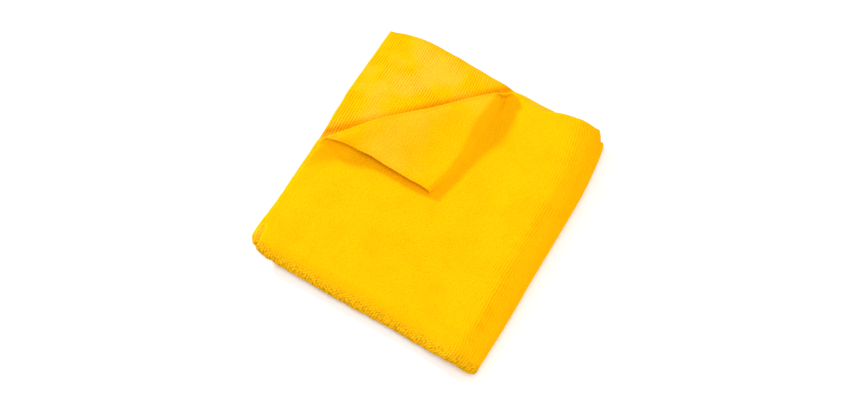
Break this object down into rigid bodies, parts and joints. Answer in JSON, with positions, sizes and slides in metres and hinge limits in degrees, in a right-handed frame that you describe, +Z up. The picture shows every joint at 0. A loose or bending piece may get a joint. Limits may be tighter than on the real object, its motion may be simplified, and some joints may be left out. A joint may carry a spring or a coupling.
{
  "type": "microfibre cleaning cloth",
  "caption": "Yellow ribbed microfibre cloth folded in quarters, with the loose corner of its top layer turned back.",
  "frame": {"origin": "middle of the folded cloth's underside, on the surface it rests on", "axes": "+X towards the thick right-hand fold, +Y from the front fold towards the open back edges, +Z up"},
  "size_m": [0.1825, 0.2023, 0.0206],
  "materials": {
    "cloth": "soft ribbed microfibre, matt"
  },
  "bodies": {
    "root": {"folded_cloth": "cloth"}
  },
  "joints": []
}
